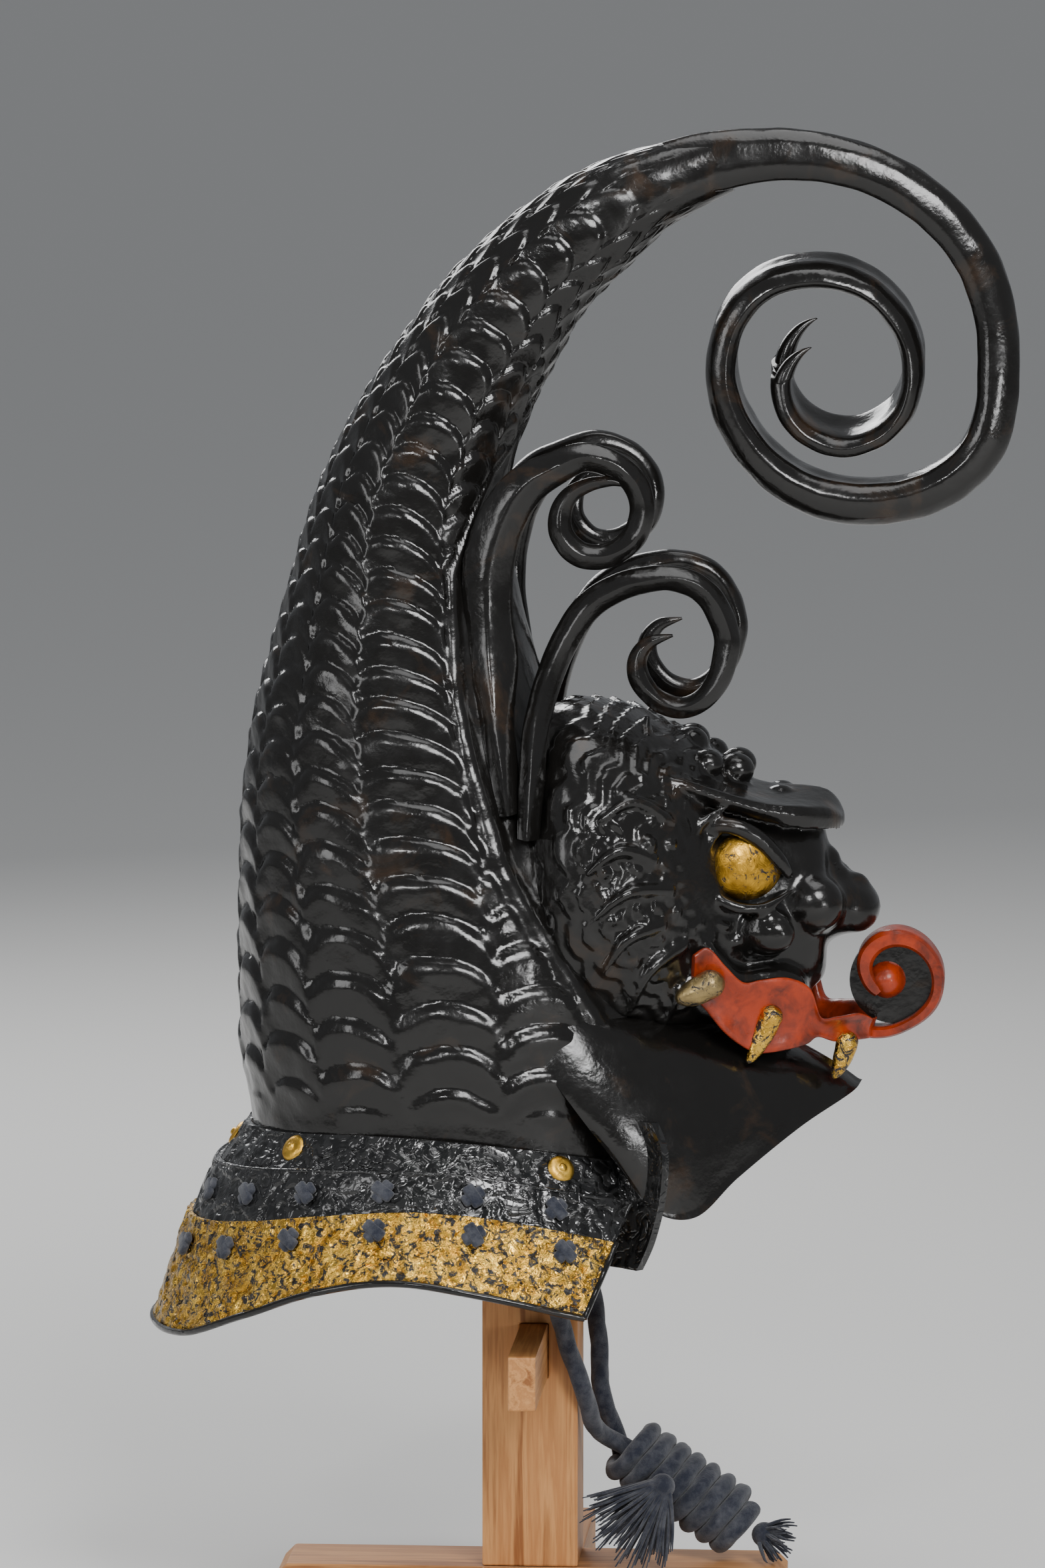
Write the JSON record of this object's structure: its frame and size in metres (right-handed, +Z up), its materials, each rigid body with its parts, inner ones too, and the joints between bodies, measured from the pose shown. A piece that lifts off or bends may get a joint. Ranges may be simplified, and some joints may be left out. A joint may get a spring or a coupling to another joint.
{
  "type": "dragon kabuto helmet on a wooden stand",
  "caption": "Samurai helmet shaped as a scaled dragon fish with curled tail, horned head, red mouth, laced neck guard and chin cord, on a plain pine post stand.",
  "frame": {"origin": "underside of the stand's base, on the axis of the post", "axes": "+Z up, +X the way the face looks, +Y the wearer's left"},
  "size_m": [0.4159, 0.2774, 0.7217],
  "materials": {
    "black_lacquer": "glossy black lacquer with brown rubs",
    "wrinkled_lacquer": "wrinkled black lacquer",
    "gilt": "worn gold leaf over black lacquer",
    "red_lacquer": "satin vermilion lacquer",
    "navy_cord": "braided silk cord, faded at its ends",
    "pine": "planed pine, clear finish"
  },
  "bodies": {
    "root": {"scaled_body": "black_lacquer", "tail_curl": "black_lacquer", "dragon_head": "black_lacquer", "visor": "black_lacquer", "horn_rear_right": "black_lacquer", "horn_rear_left": "black_lacquer", "horn_front_right": "black_lacquer", "horn_front_left": "black_lacquer", "mouth_lip": "red_lacquer", "tongue_curl": "red_lacquer", "eye_right": "gilt", "eye_left": "gilt", "fang_rear_right": "gilt", "fang_rear_left": "gilt", "fang_middle_right": "gilt", "fang_middle_left": "gilt", "fang_front_right": "gilt", "fang_front_left": "gilt", "neck_plate_top": "wrinkled_lacquer", "neck_plate_middle": "wrinkled_lacquer", "neck_plate_bottom": "gilt", "rivet_back": "gilt", "rivet_side_right": "gilt", "rivet_side_left": "gilt", "rivet_front_right": "gilt", "rivet_front_left": "gilt", "lacing_middle_right_1": "navy_cord", "lacing_middle_right_2": "navy_cord", "lacing_middle_right_3": "navy_cord", "lacing_middle_right_4": "navy_cord", "lacing_middle_right_5": "navy_cord", "lacing_middle_right_6": "navy_cord", "lacing_middle_left_1": "navy_cord", "lacing_middle_left_2": "navy_cord", "lacing_middle_left_3": "navy_cord", "lacing_middle_left_4": "navy_cord", "lacing_middle_left_5": "navy_cord", "lacing_middle_left_6": "navy_cord", "lacing_bottom_right_1": "navy_cord", "lacing_bottom_right_2": "navy_cord", "lacing_bottom_right_3": "navy_cord", "lacing_bottom_right_4": "navy_cord", "lacing_bottom_right_5": "navy_cord", "lacing_bottom_right_6": "navy_cord", "lacing_bottom_left_1": "navy_cord", "lacing_bottom_left_2": "navy_cord", "lacing_bottom_left_3": "navy_cord", "lacing_bottom_left_4": "navy_cord", "lacing_bottom_left_5": "navy_cord", "lacing_bottom_left_6": "navy_cord", "stand_base_long": "pine", "stand_base_cross": "pine", "stand_post": "pine", "stand_peg": "pine", "cord_hank": "navy_cord", "chin_cord_right": "navy_cord", "chin_cord_left": "navy_cord", "cord_tassel": "navy_cord", "cord_fray": "navy_cord"}
  },
  "joints": []
}
